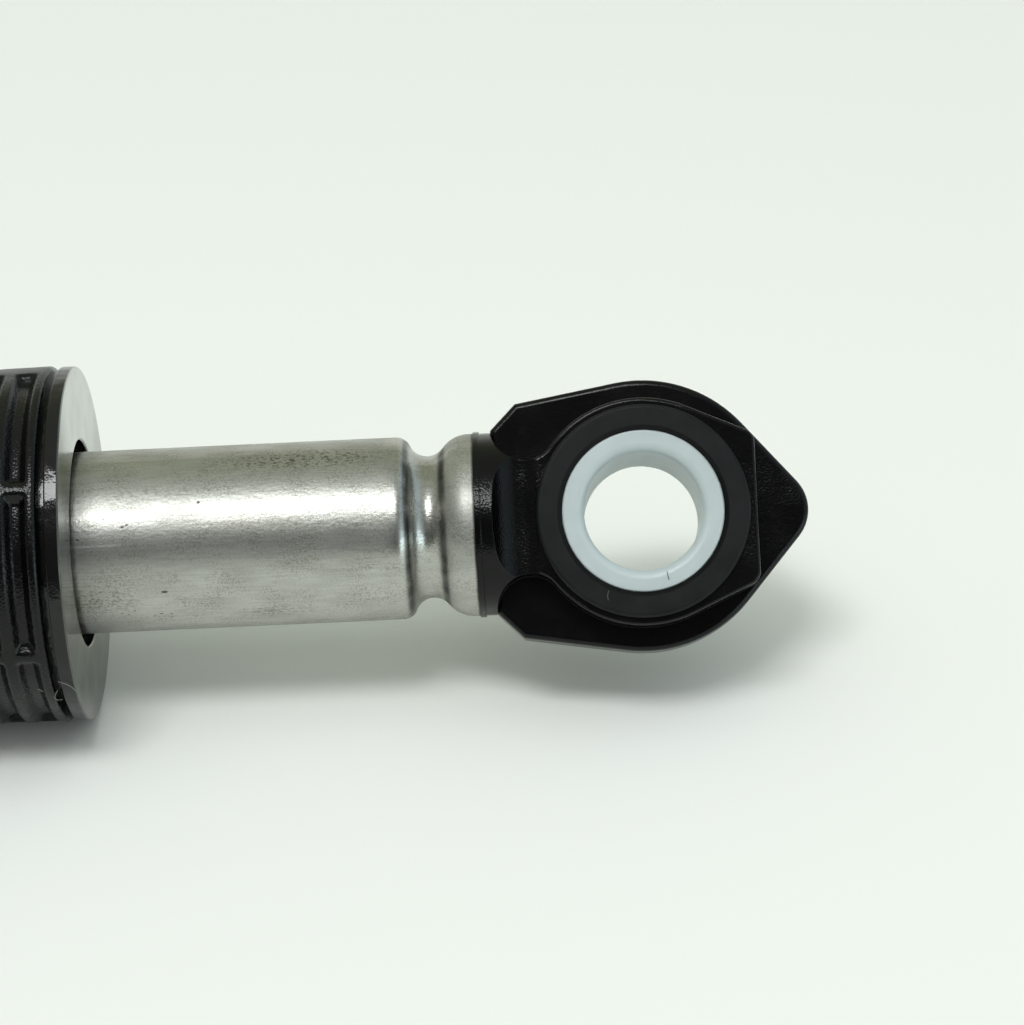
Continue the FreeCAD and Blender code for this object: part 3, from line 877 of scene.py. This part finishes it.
@dataclass(frozen=True)
class PlainPlastic(Finish):
    """Unpainted plastic with a faint mottle: the bushes, guides, spacer and fibres."""

    colour: Colour
    roughness: float
    mottle: float = 0.05
    scatter: float = 0.0
    scatter_depth: float = 0.8 * MM
    grain_period: float = 0.35 * MM
    grain_height: float = 0.003 * MM
    tone_period: float = 2.8 * MM

    def paint(self, work: Paintwork) -> None:
        """Lay the finish.

        Args:
            work: The material under way.
        """
        graph = work.graph
        grain, _, tone = work.grain(self.grain_period, self.tone_period)
        darker = shade(self.colour, 1 - 2 * self.mottle)
        work.set(Base_Color=graph.mix(graph.step(tone, 0.25, 0.75), darker, self.colour),
                 Roughness=graph.spread(tone, self.roughness, 0.04, 0.05))
        if self.scatter:
            work.set(Subsurface_Weight=self.scatter, Subsurface_Radius=(1.0, 1.0, 1.0),
                     Subsurface_Scale=self.scatter_depth)
        work.bump(grain, self.grain_height)


@dataclass(frozen=True)
class SoftFill(Finish):
    """Porous inner pieces: the greased foam linings and the felt wiper."""

    colour: Colour
    deep_colour: Colour
    pores: Pits
    roughness: float
    pore_depth: float = 0.06 * MM
    tone_period: float = 3 * MM

    def paint(self, work: Paintwork) -> None:
        """Lay the finish.

        Args:
            work: The material under way.
        """
        graph, pores = work.graph, work.pits(work.place, self.pores)
        tone = graph.noise(work.place, self.tone_period)
        deep = graph.plus(pores, graph.step(tone, 0.35, 0.7, 0.0, 0.3))
        work.set(Base_Color=graph.mix(deep, self.colour, self.deep_colour),
                 Roughness=graph.spread(tone, self.roughness, 0.05, 0.05))
        work.bump(graph.times(pores, -1.0), self.pore_depth)


@dataclass(frozen=True)
class PaleFloor(Finish):
    """Matte pale floor, with a small lift where it is seen as the background."""

    name: str = "pale_floor"
    colour: Colour = (0.90, 0.918, 0.883)
    roughness: float = 0.6
    lift: float = 0.03

    def paint(self, work: Paintwork) -> None:
        """Lay the finish."""
        seen = work.graph.seen_by("Is Camera Ray", "Is Glossy Ray", "Is Transmission Ray")
        work.set(Base_Color=opaque(self.colour), Roughness=self.roughness, Specular_IOR_Level=0.0,
                 Emission_Color=opaque(self.colour),
                 Emission_Strength=work.graph.times(seen, self.lift))


class FinishShop:
    """Every finish of the damper, made once and handed out by name."""

    # Radius of the painted shade ring round each eye's bush.
    gap_shade_radius = 10.15 * MM

    def __init__(self) -> None:
        """Make the shared effects and all materials."""
        effects = Effects()
        lower_centre, lower_axis = mount_place("lower_eye_bore")
        rod_centre, rod_axis = mount_place("rod_eye_bore")
        finishes = {
            "rod": BareSteel(end=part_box("rod_tube")[1].x),
            "disc": DiscSteel(face=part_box("end_cap")[1].x),
            "lower_eye": MouldedBlack("lower_eye_plastic", web_side=lower_axis.cross(LENGTHWISE)),
            "rod_eye": MouldedBlack("rod_eye_plastic", web_side=rod_axis.cross(LENGTHWISE)),
            "head": MouldedBlack("head_plastic", roughness=0.27, gloss_spread=0.10, specular=0.29,
                                 grain_period=0.27 * MM, grain_height=0.062 * MM, edge=0.0,
                                 dust=0.07),
            "paint": SatinPaint(),
            "rubber": Rubber(),
            "lower_ring": Rubber("lower_ring_rubber", bore_centre=lower_centre,
                                 bore_axis=lower_axis, gap_shade_radius=self.gap_shade_radius),
            "rod_ring": Rubber("rod_ring_rubber", bore_centre=rod_centre, bore_axis=rod_axis,
                               gap_shade_radius=self.gap_shade_radius),
            "bush": PlainPlastic("bush_plastic", (0.535, 0.61, 0.618), 0.36, 0.02, 0.25),
            "guide": PlainPlastic("natural_plastic", (0.72, 0.70, 0.62), 0.42),
            "foam": SoftFill("greased_foam", (0.42, 0.39, 0.27), (0.18, 0.16, 0.09),
                             Pits(0.5 * MM, 0.8, 0.3), 0.5),
            "felt": SoftFill("wiper_felt", (0.018, 0.018, 0.017), (0.006, 0.006, 0.006),
                             Pits(0.22 * MM, 0.8, 0.3), 0.9),
            "lint": PlainPlastic("lint_fibre", (0.38, 0.38, 0.36), 0.7),
            "dark_lint": PlainPlastic("dark_fibre", (0.10, 0.11, 0.11), 0.7),
            "floor": PaleFloor(),
        }
        self.materials = {use: finish.build(effects) for use, finish in finishes.items()}

    def __getitem__(self, use: str) -> Material:
        """Hand out the material for a use."""
        return self.materials[use]


def dress(shop: FinishShop, uses: Dict[str, str]) -> None:
    """Give solids their finishes.

    Args:
        shop: The finishes.
        uses: The finish for all faces of each solid, by the solid's name.
    """
    for node, use in uses.items():
        for slot in frame["nodes"][node].material_slots:
            slot.material = shop[use]
        LOG.info("dressed %s with %s", node, shop[use].name)


def plain_mesh(name: str, maker: Piece) -> Piece:
    """Turn an object with a node modifier into a plain mesh piece with smooth faces.

    Args:
        name: The new piece's name.
        maker: The object whose modifier makes the shape. It is removed.

    Returns:
        The plain piece, linked to the scene.
    """
    depsgraph = bpy.context.evaluated_depsgraph_get()
    mesh = bpy.data.meshes.new_from_object(maker.evaluated_get(depsgraph), depsgraph=depsgraph)
    bpy.data.objects.remove(maker)
    mesh.name = name
    mesh.shade_smooth()
    return linked(name, mesh)


def linked(name: str, data: bpy.types.ID) -> Piece:
    """Put a new object in the scene.

    Args:
        name: The object's name.
        data: Its mesh, light or camera.

    Returns:
        The object.
    """
    made = bpy.data.objects.new(name, data)
    bpy.context.scene.collection.objects.link(made)
    return made


def add_node_modifier(maker: Piece, tree: Tree, values: Dict[str, object]) -> None:
    """Put a geometry node tree on an object and set its named inputs.

    Args:
        maker: The object to shape.
        tree: The geometry node tree.
        values: Input values by the socket's name.
    """
    modifier = maker.modifiers.new(tree.name, "NODES")
    modifier.node_group = tree
    for item in tree.interface.items_tree:
        if item.in_out == "INPUT" and item.name in values:
            modifier[item.identifier] = values[item.name]


def finish_tree(graph: Graph, shape: Socket, material: Socket, out: Node) -> None:
    """End a geometry tree: realise what it holds and give it its material.

    Args:
        graph: The tree's graph.
        shape: The geometry to end with.
        material: The material input.
        out: The tree's output node.
    """
    real = graph.fill(graph.add("GeometryNodeRealizeInstances"), Geometry=shape)
    painted = graph.fill(graph.add("GeometryNodeSetMaterial"), Geometry=real.outputs[0],
                         Material=material)
    graph.fill(out, Geometry=painted.outputs[0])


@dataclass
class RibbedHead:
    """Black friction head: rows of pockets between rounded ribs, moulded round a stepped bore."""

    front: float = 167.0 * MM
    tail: float = 121.7 * MM
    shoulder: float = 135.7 * MM
    radius: float = 21.5 * MM
    draft: float = 0.6 * MM
    chamfer: float = 0.6 * MM
    cone: float = 7.0 * MM
    bore: float = 17.0 * MM
    socket: float = 15.05 * MM
    sleeve_wall: float = 2.4 * MM
    first_rib: float = 1.47 * MM
    rib_width: float = 1.95 * MM
    pocket_width: float = 2.0 * MM
    pocket_depth: float = 1.1 * MM
    wall_run: float = 0.66 * MM
    crest_run: float = 0.60 * MM
    corner_run: float = 0.7 * MM
    rows: int = 6
    spare_rows: float = 0.4
    bridge_width: float = 2.0 * MM
    bridge_pitch: float = 55.7
    bridge_turn: float = 48.8
    unevenness: float = 0.05 * MM
    ripple: float = 2.6 * MM
    segments: int = 420
    rib_step: float = 0.15 * MM
    plain_step: float = 1.5 * MM
    sharp_angle: float = 50.0

    def outer_radius(self, along: float) -> float:
        """Radius of the tapered outside at a place along the axis."""
        taper = self.draft / (self.front - self.tail - self.cone)
        return self.radius - taper * (self.front - along)

    def section(self) -> Tuple[List[Tuple[float, float]], int, int]:
        """Lay out the half section of the plain blank.

        Returns:
            The section's points as (along, radius), and the first and last index of the outside.
        """
        row_pitch = self.rib_width + self.pocket_width
        ribs_start = self.front - (self.rows + self.spare_rows) * row_pitch
        ribs_end = self.front - self.chamfer
        plain = np.arange(self.tail + self.cone, ribs_start, self.plain_step)
        ribbed = np.linspace(ribs_start, ribs_end, round((ribs_end - ribs_start) / self.rib_step))
        points = [(self.tail, self.socket + self.sleeve_wall)]
        first = len(points)
        points += [(along, self.outer_radius(along)) for along in (*plain, *ribbed)]
        last = len(points) - 1
        edge = self.radius - self.chamfer
        points += [(ribs_end + self.chamfer * math.sin(turn), edge + self.chamfer * math.cos(turn))
                   for turn in map(math.radians, (18, 36, 54, 72, 90))]
        points += [(self.front, self.bore), (self.shoulder, self.bore),
                   (self.shoulder, self.socket), (self.tail, self.socket)]
        return points, first, last

    def blank(self) -> Piece:
        """Turn the plain head, with a mask on its outside where ribs may be cut.

        Returns:
            The blank as an object.
        """
        points, first, last = self.section()
        along, radii = np.array(points).T
        turns = np.linspace(0, 2 * math.pi, self.segments, endpoint=False)
        vertices = np.empty((len(points), self.segments, 3))
        vertices[..., 0] = along[:, None]
        vertices[..., 1] = radii[:, None] * np.cos(turns)
        vertices[..., 2] = radii[:, None] * np.sin(turns)
        ring = np.arange(self.segments)
        ahead = np.roll(ring, -1)
        faces = []
        for row in range(len(points)):
            here, after = row * self.segments, (row + 1) % len(points) * self.segments
            faces.append(np.stack([here + ring, after + ring, after + ahead, here + ahead], axis=1))
        mesh = bpy.data.meshes.new("head_blank")
        mesh.from_pydata(vertices.reshape(-1, 3), [], np.concatenate(faces).tolist())
        mask = np.zeros((len(points), self.segments), np.float32)
        mask[first:last + 1] = 1.0
        mesh.attributes.new("outside", "FLOAT", "POINT").data.foreach_set("value", mask.ravel())
        return linked("head_blank", mesh)

    def inputs(self) -> Dict[str, float]:
        """Sizes that the node tree works with, by the name of its input."""
        return {
            "Front": self.front + self.rib_width - self.first_rib,
            "Rib Width": self.rib_width, "Pocket Width": self.pocket_width,
            "Pocket Depth": self.pocket_depth, "Wall Run": self.wall_run,
            "Crest Run": self.crest_run, "Corner Run": self.corner_run, "Rows": float(self.rows),
            "Bridge Width": self.bridge_width, "Bridge Pitch": math.radians(self.bridge_pitch),
            "Bridge Turn": math.radians(self.bridge_turn), "Unevenness": self.unevenness,
            "Ripple Scale": 1 / self.ripple,
        }

    def rib_tree(self) -> Tree:
        """Node tree that presses rows of pockets into the blank and leaves ribs and bridges.

        Returns:
            The geometry node tree.
        """
        graph, given, out = new_tree(
            "Pressed ribs", GEOMETRY,
            {"Geometry": Kind.SHAPE, **floats(*self.inputs()), "Material": Kind.FINISH},
            {"Geometry": Kind.SHAPE})
        size = given.outputs
        place = graph.add("GeometryNodeInputPosition").outputs[0]
        along, across, up = graph.split(place)
        radius = graph.length(across, up)
        least = graph.times(size["Bridge Pitch"], -2.0)
        turn = graph.math("WRAP", graph.minus(graph.bearing(across, up), size["Bridge Turn"]),
                          graph.plus(least, math.pi), least)
        to_bridge = graph.math("PINGPONG", turn, graph.half(size["Bridge Pitch"]))
        pocketed = graph.math("LESS_THAN", turn, size["Bridge Pitch"])
        from_bridge = graph.minus(graph.times(graph.times(to_bridge, radius), pocketed),
                                  graph.half(size["Bridge Width"]))
        pitch = graph.plus(size["Rib Width"], size["Pocket Width"])
        depth_in = graph.minus(graph.minus(size["Front"], graph.half(size["Rib Width"])), along)
        row = graph.math("FLOOR", graph.math("DIVIDE", depth_in, pitch))
        in_row = graph.minus(depth_in, graph.times(row, pitch))
        from_rib = graph.minus(graph.half(size["Pocket Width"]), graph.gap(in_row, graph.half(pitch)))
        counted = graph.times(graph.math("GREATER_THAN", row, -0.5),
                              graph.math("LESS_THAN", row, graph.minus(size["Rows"], 0.5)))
        inside = graph.math("SMOOTH_MIN", from_rib, from_bridge, size["Corner Run"])
        depth = graph.step(inside, graph.times(size["Crest Run"], -1.0), size["Wall Run"], 0.0,
                           size["Pocket Depth"])
        ripple = graph.texture("Noise", place, size["Ripple Scale"], Detail=2.0).outputs[0]
        sink = graph.plus(graph.times(depth, counted),
                          graph.times(graph.minus(ripple, 0.5), size["Unevenness"]))
        outside = graph.add("GeometryNodeInputNamedAttribute", data_type="FLOAT")
        graph.fill(outside, Name="outside")
        share = graph.math("DIVIDE", graph.times(sink, outside.outputs[0]), radius)
        inward = graph.times(share, -1.0)
        offset = graph.fill(graph.add("ShaderNodeCombineXYZ"), Y=graph.times(across, inward),
                            Z=graph.times(up, inward))
        press = graph.fill(graph.add("GeometryNodeSetPosition"), Geometry=size["Geometry"],
                           Offset=offset.outputs[0])
        finish_tree(graph, press.outputs[0], size["Material"], out)
        return graph.tree

    def build(self, material: Material) -> Piece:
        """Make the head and let it stand for the plain solid.

        Args:
            material: The head's finish.

        Returns:
            The finished piece.
        """
        maker = self.blank()
        add_node_modifier(maker, self.rib_tree(), {**self.inputs(), "Material": material})
        piece = plain_mesh("ribbed_head", maker)
        piece.data.attributes.remove(piece.data.attributes["outside"])
        piece.data.set_sharp_from_angle(angle=math.radians(self.sharp_angle))
        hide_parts("friction_housing")
        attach(piece, Body.CASING.value)
        LOG.info("built %s with %d faces", piece.name, len(piece.data.polygons))
        return piece


@dataclass(frozen=True)
class Fibre:
    """One loose fibre: its two ends and the point that it bows towards."""

    start: Vector
    bow: Vector
    end: Vector


@dataclass
class Lint:
    """Loose fibres caught on one body, each a thin tube along a curve."""

    name: str
    body: Body
    fibres: Sequence[Fibre]
    thickness: float
    sides: int = 6
    steps: int = 14

    def tree(self) -> Tree:
        """Node tree that draws every fibre.

        Returns:
            The geometry node tree.
        """
        graph, given, out = new_tree(
            self.name, GEOMETRY,
            {"Geometry": Kind.SHAPE, "Thickness": Kind.FLOAT, "Sides": Kind.COUNT,
             "Steps": Kind.COUNT, "Material": Kind.FINISH}, {"Geometry": Kind.SHAPE})
        size = given.outputs
        profile = graph.fill(graph.add("GeometryNodeCurvePrimitiveCircle"), Resolution=size["Sides"],
                             Radius=graph.half(size["Thickness"]))
        bundle = graph.add("GeometryNodeJoinGeometry")
        for fibre in self.fibres:
            curve = graph.fill(graph.add("GeometryNodeCurveQuadraticBezier"), Start=fibre.start,
                               Middle=fibre.bow, End=fibre.end, Resolution=size["Steps"])
            graph.feed(bundle.inputs[0], curve.outputs[0])
        tubes = graph.fill(graph.add("GeometryNodeCurveToMesh"), Curve=bundle.outputs[0],
                           Profile_Curve=profile.outputs[0], Fill_Caps=True)
        finish_tree(graph, tubes.outputs[0], size["Material"], out)
        return graph.tree

    def build(self, material: Material) -> Piece:
        """Make the fibres and let them ride on their body.

        Args:
            material: The fibres' finish.

        Returns:
            The finished piece.
        """
        maker = linked(self.name, bpy.data.meshes.new(self.name))
        add_node_modifier(maker, self.tree(), {
            "Thickness": self.thickness, "Sides": self.sides, "Steps": self.steps,
            "Material": material,
        })
        piece = plain_mesh(self.name, maker)
        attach(piece, self.body.value)
        LOG.info("built %s with %d fibres", piece.name, len(self.fibres))
        return piece


@dataclass
class Casing:
    """Steel casing with its friction pack, disc, ribbed head and lower eye.

    Fibres lie on the disc's rim and on a rib, at radii in millimetres.
    """

    rim: float = 21.4
    rib: float = 21.5
    fibre: float = 0.05 * MM

    def dress(self, shop: FinishShop) -> None:
        """Dress the casing's solids."""
        dress(shop, {
            "casing_tube": "paint", "end_cap": "disc", "wiper_ring": "felt",
            "outer_guide_bush": "guide", "inner_guide_bush": "guide", "lining_spacer": "guide",
            "outer_friction_lining": "foam", "inner_friction_lining": "foam",
            "bump_stop": "rubber", "friction_housing": "head", "lower_eye": "lower_eye",
            "lower_eye_isolator": "lower_ring", "lower_eye_bush": "bush",
        })

    def lint(self, face: float) -> Lint:
        """Lay pale fibres on the disc's rim and on the rib behind it.

        Args:
            face: Where the disc's face lies along the axis.

        Returns:
            The fibres.
        """
        rim, rib = self.rim, self.rib

        def point(back: float, bearing: float, radius: float) -> Vector:
            """A point by millimetres back from the face, its bearing in degrees and its radius."""
            turn, out = math.radians(bearing), radius * MM
            return Vector((face - back * MM, -out * math.cos(turn), out * math.sin(turn)))

        return Lint("lint_on_head", Body.CASING, (
            Fibre(point(1.9, -17.5, rim), point(0.2, -17.5, rim + 0.6), point(0.1, -24, rim - 0.1)),
            Fibre(point(2.2, -22, rim), point(3.2, -25, rim + 0.9), point(1.9, -27.5, rim)),
            Fibre(point(4.4, -20.5, rib), point(3.9, -20.2, rib + 0.3), point(3.9, -22.3, rib)),
        ), self.fibre)

    def build(self, shop: FinishShop) -> None:
        """Build the ribbed head and the fibres on it."""
        RibbedHead().build(shop["head"])
        self.lint(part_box("end_cap")[1].x).build(shop["lint"])


@dataclass
class Rod:
    """Sliding rod with its piston, its eye and the hairs that lie on the eye."""

    hair: float = 0.1 * MM

    def dress(self, shop: FinishShop) -> None:
        """Dress the rod's solids."""
        dress(shop, {
            "rod_tube": "rod", "piston": "guide", "piston_ring": "guide",
            "rebound_buffer": "rubber", "rod_eye": "rod_eye", "rod_eye_isolator": "rod_ring",
            "rod_eye_bush": "bush",
        })

    def lint(self, centre: Vector, toward: Vector) -> Lint:
        """Lay dark hairs on the rod eye's bush and on its rubber ring.

        Args:
            centre: The middle of the rod eye's bore.
            toward: The bore's direction, out of the eye's seen side.

        Returns:
            The fibres.
        """
        up = toward.cross(LENGTHWISE)

        def point(right: float, rise: float, out: float) -> Vector:
            """A point by millimetres right of, over and out from the eye's middle."""
            return centre + (LENGTHWISE * right + up * rise + toward * out) * MM

        return Lint("lint_on_eye", Body.ROD, (
            Fibre(point(2.45, -7.3, 9.3), point(2.5, -7.8, 9.55), point(2.62, -8.3, 9.43)),
            Fibre(point(-4.5, -9.3, 9.82), point(-4.8, -9.9, 9.98), point(-4.6, -10.4, 9.82)),
        ), self.hair)

    def build(self, shop: FinishShop) -> None:
        """Build the hairs on the eye."""
        self.lint(*mount_place("rod_eye_bore")).build(shop["dark_lint"])


@dataclass(frozen=True)
class Lamp:
    """A soft rectangular lamp: its rise over the camera's side and its swing along the damper."""

    name: str
    rise: float
    swing: float
    distance: float
    width: float
    height: float
    radiance: float
    tint: Colour
    reach: Reach = Reach.ALL

    def direction(self) -> Vector:
        """Direction from the damper to the lamp."""
        rise, swing = math.radians(self.rise), math.radians(self.swing)
        return Vector((math.sin(swing), -math.cos(swing) * math.cos(rise),
                       math.cos(swing) * math.sin(rise)))


@dataclass
class Studio:
    """Pale floor, soft light and the camera. The room's colours are given by bearing in degrees."""

    eye_centre: Vector
    floor_height: float
    floor_half: float = 4.0
    focal_pixels: float = 3371.2
    photo_width: float = 1024.0
    sensor: float = 36.0
    elevation: float = 31.0
    axis_slope: float = 2.624
    axis_swing: float = 0.959
    eye_in_view: Tuple[float, float, float] = (15.678 * MM, -0.575 * MM, -406.685 * MM)
    lamp_aim_back: float = 30 * MM
    lamps: Tuple[Lamp, ...] = (
        Lamp("key_softbox", 65.5, -8.0, 1.4, 0.55, 0.344, 13.4, (0.985, 1.0, 1.0)),
        Lamp("side_window", 7.0, 45.0, 1.0, 0.75, 0.30, 2.2, (0.78, 0.93, 1.0), Reach.GLOSS),
        Lamp("ceiling_bounce", 66.0, 0.0, 1.6, 2.2, 2.0, 0.57, (1.0, 1.0, 0.98), Reach.FILL),
    )
    backdrop_colour: Colour = (0.84, 0.88, 0.835)
    side_colour: Colour = (0.62, 0.74, 0.80)
    room: Tuple[Tuple[float, Colour], ...] = (
        (-30.0, (0.20, 0.202, 0.185)),
        (0.0, (0.09, 0.092, 0.084)),
        (40.0, (0.11, 0.112, 0.104)),
        (62.0, (0.36, 0.37, 0.35)),
        (80.0, (0.48, 0.50, 0.46)),
        (104.0, (0.46, 0.49, 0.43)),
        (124.0, (0.42, 0.45, 0.35)),
        (144.0, (0.38, 0.41, 0.28)),
        (157.0, (0.50, 0.52, 0.43)),
        (172.0, (0.95, 0.96, 0.90)),
        (210.0, (0.95, 0.96, 0.90)),
    )

    def camera_turn(self) -> Matrix:
        """Work out how the camera is turned, from where the damper's axis runs in its picture.

        Returns:
            The rotation from camera axes to the part's axes.
        """
        slope, swing = math.radians(self.axis_slope), math.radians(self.axis_swing)
        rise = math.radians(self.elevation)
        axis = Vector((math.cos(swing) * math.cos(slope), math.cos(swing) * math.sin(slope),
                       math.sin(swing)))
        toward = (UPWARD - axis * axis.z).normalized()
        seen = Matrix((axis, toward, toward.cross(axis)))
        real = Matrix((LENGTHWISE, (0, -math.cos(rise), math.sin(rise)),
                       (0, math.sin(rise), math.cos(rise))))
        return real.transposed() @ seen

    def add_camera(self) -> None:
        """Set the camera where the photograph was taken from."""
        data = bpy.data.cameras.new("camera")
        data.sensor_fit = "HORIZONTAL"
        data.sensor_width = self.sensor
        data.lens = self.focal_pixels / self.photo_width * self.sensor
        data.clip_start = 10 * MM
        turn = self.camera_turn()
        place = turn.to_4x4()
        place.translation = self.eye_centre - turn @ Vector(self.eye_in_view)
        camera = linked("camera", data)
        camera.matrix_world = place
        bpy.context.scene.camera = camera

    def add_floor(self, material: Material) -> None:
        """Lay a plain pale floor under the head.

        Args:
            material: The floor's finish.
        """
        half = self.floor_half
        corners = ((-half, -half), (half, -half), (half, half), (-half, half))
        mesh = bpy.data.meshes.new("floor")
        mesh.from_pydata([(*corner, self.floor_height) for corner in corners], [], [(0, 1, 2, 3)])
        mesh.materials.append(material)
        floor = linked("floor", mesh)

    def add_lamps(self) -> None:
        """Hang the soft lamps round the damper."""
        aim = LENGTHWISE * (self.eye_centre.x - self.lamp_aim_back)
        for lamp in self.lamps:
            data = bpy.data.lights.new(lamp.name, "AREA")
            data.shape = "RECTANGLE"
            data.size, data.size_y = lamp.width, lamp.height
            data.energy = math.pi * lamp.width * lamp.height * lamp.radiance
            data.color = lamp.tint
            light = linked(lamp.name, data)
            light.visible_glossy = lamp.reach is not Reach.FILL
            light.visible_diffuse = lamp.reach is not Reach.GLOSS
            away = lamp.direction()
            beside = UPWARD.cross(away).normalized()
            turn = Matrix((beside, away.cross(beside), away)).transposed().to_4x4()
            turn.translation = aim + away * lamp.distance
            light.matrix_world = turn

    def add_world(self) -> None:
        """Surround the damper with a soft room, dim in front and as pale behind as the backdrop."""
        world = bpy.data.worlds.new("room")
        world.use_nodes = True
        bpy.context.scene.world = world
        graph = Graph(world.node_tree)
        side, across, up = graph.split(graph.add("ShaderNodeTexCoord").outputs["Generated"])
        low, high = self.room[0][0], self.room[-1][0]
        ramp = graph.add("ShaderNodeValToRGB")
        elements = ramp.color_ramp.elements
        while len(elements) < len(self.room):
            elements.new(0.5)
        for element, (angle, colour) in zip(elements, self.room):
            element.position = (angle - low) / (high - low)
            element.color = opaque(colour)
        spare = (360 - (high - low)) / 2
        wrapped = graph.math("WRAP", graph.bearing(across, up), math.radians(high + spare),
                             math.radians(low - spare))
        factor = graph.fill(graph.add("ShaderNodeMapRange"), wrapped, math.radians(low),
                            math.radians(high), 0.0, 1.0)
        graph.fill(ramp, factor.outputs[0])
        room = graph.mix(graph.step(side, 0.25, 0.75, 0.0, 0.85), ramp.outputs[0], self.side_colour)
        seen = graph.seen_by("Is Camera Ray", "Is Transmission Ray")
        shown = graph.mix(seen, room, self.backdrop_colour)
        graph.fill(world.node_tree.nodes["Background"], Color=shown)

    def build(self, floor: Material) -> None:
        """Set up the whole studio.

        Args:
            floor: The floor's finish.
        """
        bpy.context.scene.view_settings.view_transform = "Standard"
        self.add_camera()
        self.add_floor(floor)
        self.add_lamps()
        self.add_world()
        LOG.info("studio ready")


def main() -> None:
    """Dress the damper, build its new pieces and set up the studio."""
    logging.basicConfig(level=logging.INFO, format="%(name)s: %(message)s")
    shop = FinishShop()
    for assembly in (Casing(), Rod()):
        assembly.dress(shop)
        assembly.build(shop)
    eye_centre = mount_place("rod_eye_bore")[0]
    Studio(eye_centre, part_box("friction_housing")[0].z).build(shop["floor"])


if __name__ == "__main__":
    main()
